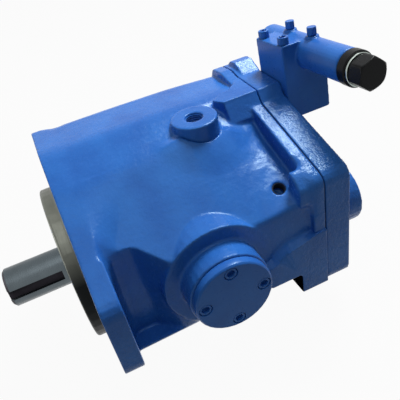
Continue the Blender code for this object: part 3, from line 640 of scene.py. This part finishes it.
def flange_run(points):
    """Fill the corner behind the flange on the near flank: z' = z + s (top(y) - z), s falling from 1 to 0."""
    x, y, z = points.T / MM
    near, far = RUN_SIDES
    top = flank_height(y, FLANGE_FLANK)
    skin = flank_height(y, CASE_FLANK)
    end = np.interp(y, *RUN_END)
    run = np.clip((x - RUN_START) / (end - RUN_START), 0, 1)
    share = (1 - run) ** 2 * (1 + 2 * run)
    share = share * np.clip((y - near) / RUN_FADES[0], 0, 1) * np.clip((far - y) / RUN_FADES[1], 0, 1)
    touched = (x > RUN_START) & (x < RUN_END[1][-1]) & (y > near) & (y < far)
    touched &= (z > skin - SKIN_DEPTH) & (z < top)
    points[touched, 2] += (share * (top - z))[touched] * MM
    return points


def cast_case_skin(points):
    """The cast forms of the case that its solid leaves plain."""
    return flange_run(drain_swell(foot_chamfer(points)))


def casting(name, node, grain, soft, fillet, most, zones=(), reshape=None):
    """A cast copy of a node: its solid rebuilt in cells, outer edges just broken and inner corners filleted.

    soft rounds of relaxing take the cell pattern off all edges. fillet more rounds move only points that lie
    in a hollow of the outer skin, where the mean of the neighbours is on the outer side, so fillets grow.
    Each zone (low, high, rounds) is a box whose points relax that many rounds more, as a softer part.
    The mesh is then thinned to most faces, which takes points from the flat parts first.
    """
    obj = merged_copy(name, node)
    cells = obj.modifiers.new("cells", "REMESH")
    cells.mode = "VOXEL"
    cells.voxel_size = grain
    settle(obj)
    mesh = obj.data
    points = values_of(mesh.vertices, "co", 3)
    edges = values_of(mesh.edges, "vertices", 2, np.int64)
    if reshape:
        points = reshape(points)
    points = relax(points, edges, lambda step: np.full(len(step), RELAX), soft)
    for low, high, rounds in zones:
        weight = RELAX * inside(points, low, high)
        points = relax(points, edges, lambda step: weight, rounds)
    mesh.vertices.foreach_set("co", points.ravel())
    mesh.update()
    normals = values_of(mesh.vertex_normals, "vector", 3)
    away = np.linalg.norm(points[:, 1:], axis=1)
    outer = (normals[:, 1:] * points[:, 1:]).sum(axis=1) > OUTER_LEAN * away
    outer &= points[:, 0] > FILLET_START * MM
    points = relax(points, edges, lambda step: RELAX * (outer & ((step * normals).sum(axis=1) > 0)), fillet)
    mesh.vertices.foreach_set("co", points.ravel())
    mesh.update()
    thin = obj.modifiers.new("thin", "DECIMATE")
    thin.ratio = min(1.0, most / (2 * len(mesh.polygons)))
    settle(obj)
    even_shading(obj)
    obj.modifiers.new("flat_parts", "WEIGHTED_NORMAL")
    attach(obj, CASING)
    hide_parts(node)
    return obj


class PUMP_OT_castings(bpy.types.Operator):
    """Make the case, the valve plate and the compensator body as enamelled castings"""

    bl_idname = "pump.castings"
    bl_label = "Castings"

    def execute(self, context):
        case = casting("cast_case", "housing", sizes().case_grain, soft=2, fillet=5, most=190000,
                       zones=SOFT_ZONES, reshape=cast_case_skin)
        plate = casting("cast_valve_plate", "valve_plate", sizes().plate_grain, soft=2, fillet=4, most=120000)
        body = casting("cast_compensator", "compensator_body", sizes().small_grain, soft=2, fillet=6,
                       most=100000)
        dress(body, "machined_enamel")
        for obj in (case, plate):
            dress(obj, "sand_cast_enamel")
            self.bare_and_shade_faces(obj)
        return {"FINISHED"}

    def bare_and_shade_faces(self, obj):
        """Show bare iron on flange face and pilot, a dark matt skin as painted shade on the front end of the
        foot, and a coarse rear skin.
        """
        centres, normals = face_places(obj)
        away = np.hypot(centres[:, 1], centres[:, 2])
        face = (centres[:, 0] < FLANGE_FACE * MM) & (normals[:, 0] < FACE_LEAN)
        rim = (centres[:, 0] < PILOT_FRONT * MM) & (away > PILOT_EDGE * MM)
        # Painted shade: the foot's front end, which lies in shadow, takes a dark matt skin
        shaded_end = inside(centres, *FOOT_SHADE_END, rim=0.1 * MM) * (normals[:, 0] < FOOT_SHADE_LEAN) > 0.5
        rear = (centres[:, 0] > REAR_SKIN * MM) & (centres[:, 2] < LUG_SKIN * MM)
        skins = {"turned_iron": rim, "painted_shade_casting": shaded_end, "faced_iron": face, "coarse_cast_enamel": rear}
        for finish in skins:
            obj.data.materials.append(finish_of(finish))
        index = np.select(list(skins.values()), list(range(1, len(skins) + 1)), 0)
        obj.data.polygons.foreach_set("material_index", index.astype(np.int32))


class PUMP_OT_threads(bpy.types.Operator):
    """Cut the threads of the ports, the drain and the small tapped hole"""

    bl_idname = "pump.threads"
    bl_label = "Threads"

    def execute(self, context):
        pitch = sizes().pitch / MM
        for name, place, way, low, high, bore, finish in THREADS:
            grid = thread_grid(low, high, bore, THREAD_DEPTH, pitch)
            grid_piece(name, grid, along_axis(place, way), CASING, finish, loop=True)
        return {"FINISHED"}


class PUMP_OT_adjuster(bpy.types.Operator):
    """Make the compensator's adjusting plug, lock nut, washer, screws and pipe plugs"""

    bl_idname = "pump.adjuster"
    bl_label = "Adjuster and small screws"

    def execute(self, context):
        outward = comp_place() @ Matrix.Rotation(math.radians(-90), 4, "X")
        rows = hexagon_head(ADJUSTER_END, WASHER_END - CLEAR, PLUG_FLAT, chamfer=1.5)
        rows += [(WASHER_END - CLEAR, PLUG_SHANK, ROUND), (PLUG_FOOT - PLUG_LEAD, PLUG_SHANK, ROUND),
                 (PLUG_FOOT, PLUG_SHANK - PLUG_LEAD, ROUND), (PLUG_FOOT, 0.0, ROUND)]
        grid = turned_grid(rows, columns=96, turn=PLUG_TURN)
        plug = grid_piece("adjusting_plug_hex", grid, outward, "adjuster", "oxide_black")
        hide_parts("adjusting_plug")
        grid = turned_grid(ring_rows(NUT_END, COMP_NEAR - CLEAR, RING_BORE, NUT_RADIUS, chamfer=0.9))
        nut = grid_piece("lock_nut_ring", grid, outward, "lock_nut_body", "oxide_black",
                         loop=True)
        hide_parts("lock_nut")
        grid = turned_grid(ring_rows(WASHER_END, NUT_END - CLEAR, RING_BORE, WASHER_RADIUS, chamfer=0.3))
        washer = grid_piece("washer_ring", grid, outward, "lock_nut_body", "bright_zinc",
                            loop=True)
        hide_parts("bright_washer")
        self.cap_screws()
        self.hex_plugs()
        return {"FINISHED"}

    def cap_screws(self):
        """The two socket screws on the front ledge of the compensator."""
        rows = [(SCREW_DEPTH, 0.0, ROUND), (SCREW_DEPTH, SCREW_SHANK, ROUND), (CLEAR, SCREW_SHANK, ROUND)]
        rows += socket_head(CLEAR, top=6.0, radius=4.5, flat=2.5, depth=2.6)
        grid = turned_grid(rows, columns=48)
        for number, (x, y) in enumerate(COMP_SCREWS, 1):
            stand = comp_place() @ Matrix.Translation((x * MM, y * MM, COMP_LEDGE * MM))
            screw = grid_piece(f"cap_screw_{number}", grid, stand, CASING, "machined_enamel")
            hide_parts(f"compensator_screw_{number}")

    def hex_plugs(self):
        """The two small hexagon plugs on top of the compensator."""
        rows = hexagon_head(HEX_PLUG_TOP, HEX_PLUG_SEAT, HEX_PLUG_FLAT, chamfer=1.1)
        rows += [(HEX_PLUG_SEAT, SCREW_SHANK, ROUND), (HEX_PLUG_DEPTH, SCREW_SHANK, ROUND),
                 (HEX_PLUG_DEPTH, 0.0, ROUND)]
        grid = turned_grid(rows, columns=48)
        for number, (x, y) in enumerate(COMP_PLUGS, 1):
            over = Matrix.Rotation(math.pi, 4, "X")
            stand = comp_place() @ Matrix.Translation((x * MM, y * MM, 0)) @ over
            stop = grid_piece(f"hex_plug_{number}", grid, stand, CASING, "machined_enamel")
            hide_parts(f"pipe_plug_{number}")


class PUMP_OT_fittings(bpy.types.Operator):
    """Finish the covers, screws and plugs that show on the outside"""

    bl_idname = "pump.fittings"
    bl_label = "Fittings"

    def execute(self, context):
        painted = ["trunnion_cover_near", "trunnion_cover_far", "end_plug"]
        painted += [f"cover_screw_{number}" for number in range(1, 5)]
        for name in painted:
            smooth_node(name, "machined_enamel")
        for name in ["retaining_ring"] + [f"plate_bolt_{number}" for number in range(1, 5)]:
            smooth_node(name, "oxide_black")
        smooth_node("case_gasket", "fibre_and_hole_shade")
        smooth_node("shaft_seal", "nitrile_rubber")
        return {"FINISHED"}


class PUMP_OT_works(bpy.types.Operator):
    """Finish the shaft and the working parts inside"""

    bl_idname = "pump.works"
    bl_label = "Working parts"

    def execute(self, context):
        self.shaft()
        steel = ["front_bearing_outer", "front_bearing_inner", "rear_bearing", "yoke",
                 "trunnion_bearing_near", "trunnion_bearing_far", "shoe_retainer", "cylinder_barrel",
                 "ball_guide", "barrel_spring", "control_piston", "spool", "spring_seat"]
        steel += [f"piston_{number}" for number in range(1, 10)]
        for name in steel:
            smooth_node(name, "bare_ground_steel")
        for name in ["front_bearing_cage", "wear_plate"] + [f"shoe_{number}" for number in range(1, 10)]:
            smooth_node(name, "bearing_bronze")
        self.compensator_coil()
        self.yoke_coil()
        return {"FINISHED"}

    def coil(self, name, node, grid, place, body, held, still):
        """A coil in place of a node's, dressed in ground steel, its place baked in; body, held and still are
        not used.
        """
        obj = grid_object(name, grid, place)
        dress(obj, "bare_ground_steel")
        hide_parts(node)
        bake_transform(obj)

    def compensator_coil(self):
        """The compensator's spring in two halves that meet."""
        low, high = COIL_ENDS
        middle = (low + high) / 2
        turns = COIL_TURNS * math.pi
        outward = comp_place() @ Matrix.Rotation(math.radians(-90), 4, "X")
        halves = (("seat_half_coil", low + COIL_WIRE, middle, 0.0, "seat_body", low + 2 * COIL_WIRE),
                  ("spool_half_coil", middle, high - COIL_WIRE, turns, "spool_body", high - 2 * COIL_WIRE))
        for name, start, end, phase, body, held in halves:
            grid = coil_grid(start, end, COIL_RADIUS, COIL_WIRE, phase, phase + turns)
            self.coil(name, "compensator_spring", grid, outward, body, held, middle)

    def yoke_coil(self):
        """The yoke's spring, wound along its axis between its two ends."""
        low, high = YOKE_COIL_ENDS
        grid = coil_grid(low + YOKE_COIL_WIRE, high - YOKE_COIL_WIRE, YOKE_COIL_RADIUS, YOKE_COIL_WIRE, 0.0,
                         YOKE_COIL_TURNS * math.tau)
        self.coil("yoke_coil", "yoke_spring", grid, along_axis(YOKE_COIL_AXIS, (1, 0, 0)), "tilting_yoke",
                  low + 2 * YOKE_COIL_WIRE, POCKET_MOUTH)

    def shaft(self):
        """The drive shaft with a centre hole drilled in its end, all its edges broken and its keyway floor
        painted dark as shade.
        """
        obj = merged_copy("keyed_shaft", "drive_shaft")
        rows = [(SHAFT_END + depth, radius, ROUND) for depth, radius in CENTRE_HOLE]
        grid = turned_grid(rows, columns=32)
        drill = grid_object("centre_drill", grid, along_axis((0, 0, 0), (1, 0, 0)))
        cut = obj.modifiers.new("centre_hole", "BOOLEAN")
        cut.object = drill
        cut.operation = "DIFFERENCE"
        cut.solver = "EXACT"
        settle(obj)
        bpy.data.objects.remove(drill)
        even_shading(obj)
        break_edges(obj)
        dress(obj, "bare_ground_steel")
        # Painted shade: the keyway's floor takes a dark steel finish for the shadow in the slot
        obj.data.materials.append(finish_of("painted_shade_steel"))
        centres, normals = face_places(obj)
        away = np.hypot(centres[:, 1], centres[:, 2])
        outward = (normals[:, 1:] * centres[:, 1:]).sum(axis=1) > 0.7 * away
        floor = outward & (away > KEYWAY_BAND[0] * MM) & (away < KEYWAY_BAND[1] * MM)
        floor &= centres[:, 0] < KEYWAY_REAR * MM
        obj.data.polygons.foreach_set("material_index", floor.astype(np.int32))
        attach(obj, "shaft")
        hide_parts("drive_shaft")


class PUMP_OT_stage(bpy.types.Operator):
    """Set the floor, the lamps, the world and the camera"""

    bl_idname = "pump.stage"
    bl_label = "Stage"

    def execute(self, context):
        scene = context.scene
        scene.view_settings.view_transform = "Standard"
        self.floor()
        self.world(scene)
        self.lamps()
        camera = bpy.data.objects.new("camera", bpy.data.cameras.new("camera"))
        camera.data.lens = CAMERA_LENS
        camera.data.clip_start = 0.01
        back = Vector(CAMERA_RIGHT).cross(Vector(CAMERA_UP))
        turn = Matrix((CAMERA_RIGHT, CAMERA_UP, back)).transposed()
        camera.matrix_world = Matrix.Translation(CAMERA_PLACE) @ turn.to_4x4()
        scene.collection.objects.link(camera)
        scene.camera = camera
        return {"FINISHED"}

    def direct(self, tree):
        """1 for rays from the camera or from a mirror or glass, 0 for light that falls on the pump."""
        seen = add(tree, "ShaderNodeLightPath")
        first = add(tree, "ShaderNodeMath", {0: seen.outputs["Is Camera Ray"],
                                             1: seen.outputs["Is Glossy Ray"]}, operation="MAXIMUM")
        either = add(tree, "ShaderNodeMath", {0: first.outputs["Value"],
                                              1: seen.outputs["Is Transmission Ray"]}, operation="MAXIMUM")
        return either.outputs["Value"]

    def floor(self):
        """A wide pale sheet under the pump: white to the eye, darkened a little where the pump shades it."""
        side = FLOOR_SIDE
        low = CAD_BOX[0].z - FLOOR_GAP
        mesh = bpy.data.meshes.new("floor")
        mesh.from_pydata([(-side, -side, low), (side, -side, low), (side, side, low), (-side, side, low)], [],
                         [(0, 1, 2, 3)])
        floor = bpy.data.objects.new("floor", mesh)
        bpy.context.scene.collection.objects.link(floor)
        made = bpy.data.materials.new("pale_floor")
        made.use_nodes = True
        tree = made.node_tree
        shader = tree.nodes["Principled BSDF"]
        shader.inputs["Base Color"].default_value = colours().floor
        shader.inputs["Roughness"].default_value = 0.9
        white = add(tree, "ShaderNodeEmission", {"Color": (1, 1, 1, 1), "Strength": 1.0})
        share = add(tree, "ShaderNodeMath", {0: self.direct(tree), 1: FLOOR_WHITE}, operation="MULTIPLY")
        both = add(tree, "ShaderNodeMixShader", {0: share.outputs["Value"], 1: shader.outputs["BSDF"],
                                                 2: white.outputs["Emission"]})
        tree.links.new(both.outputs["Shader"], tree.nodes["Material Output"].inputs["Surface"])
        mesh.materials.append(made)

    def world(self, scene):
        """White to the camera and to reflections, a dim even fill for the rest."""
        world = bpy.data.worlds.new("studio")
        world.use_nodes = True
        tree = world.node_tree
        power = add(tree, "ShaderNodeMapRange", {"Value": self.direct(tree), "To Min": FILL_LIGHT,
                                                 "To Max": 1.0})
        tree.links.new(power.outputs["Result"], tree.nodes["Background"].inputs["Strength"])
        tree.nodes["Background"].inputs["Color"].default_value = (1, 1, 1, 1)
        scene.world = world

    def lamps(self):
        """A lamp high behind the pump on the right, a broad one overhead and a weak one at the shaft end."""
        for name, place, size, power in LAMPS:
            light = bpy.data.lights.new(name, "AREA")
            light.size = size
            light.energy = power
            lamp = bpy.data.objects.new(name, light)
            lamp.location = place
            lamp.rotation_mode = "QUATERNION"
            lamp.rotation_quaternion = (Vector(LAMP_AIM) - Vector(place)).to_track_quat("-Z", "Y")
            bpy.context.scene.collection.objects.link(lamp)


class PUMP_PT_panel(bpy.types.Panel):
    """Sidebar list of the steps that dress the pump"""

    bl_idname = "PUMP_PT_panel"
    bl_label = "Axial Piston Pump"
    bl_space_type = "VIEW_3D"
    bl_region_type = "UI"
    bl_category = "Pump"

    def draw(self, context):
        for step in STEPS:
            self.layout.operator(step.bl_idname)
        for group in (colours(), sizes()):
            for name in group.__annotations__:
                self.layout.prop(group, name)


STEPS = (PUMP_OT_castings, PUMP_OT_threads, PUMP_OT_adjuster, PUMP_OT_fittings, PUMP_OT_works,
         PUMP_OT_stage)
CLASSES = (PumpColours, PumpSizes, *STEPS, PUMP_PT_panel)


def register():
    for made in CLASSES:
        bpy.utils.register_class(made)
    bpy.types.Scene.pump_colours = PointerProperty(type=PumpColours)
    bpy.types.Scene.pump_sizes = PointerProperty(type=PumpSizes)


def unregister():
    del bpy.types.Scene.pump_sizes
    del bpy.types.Scene.pump_colours
    for made in reversed(CLASSES):
        bpy.utils.unregister_class(made)


def main():
    register()
    bpy.ops.pump.castings()
    bpy.ops.pump.threads()
    bpy.ops.pump.adjuster()
    bpy.ops.pump.fittings()
    bpy.ops.pump.works()
    bpy.ops.pump.stage()


if __name__ == "__main__":
    main()
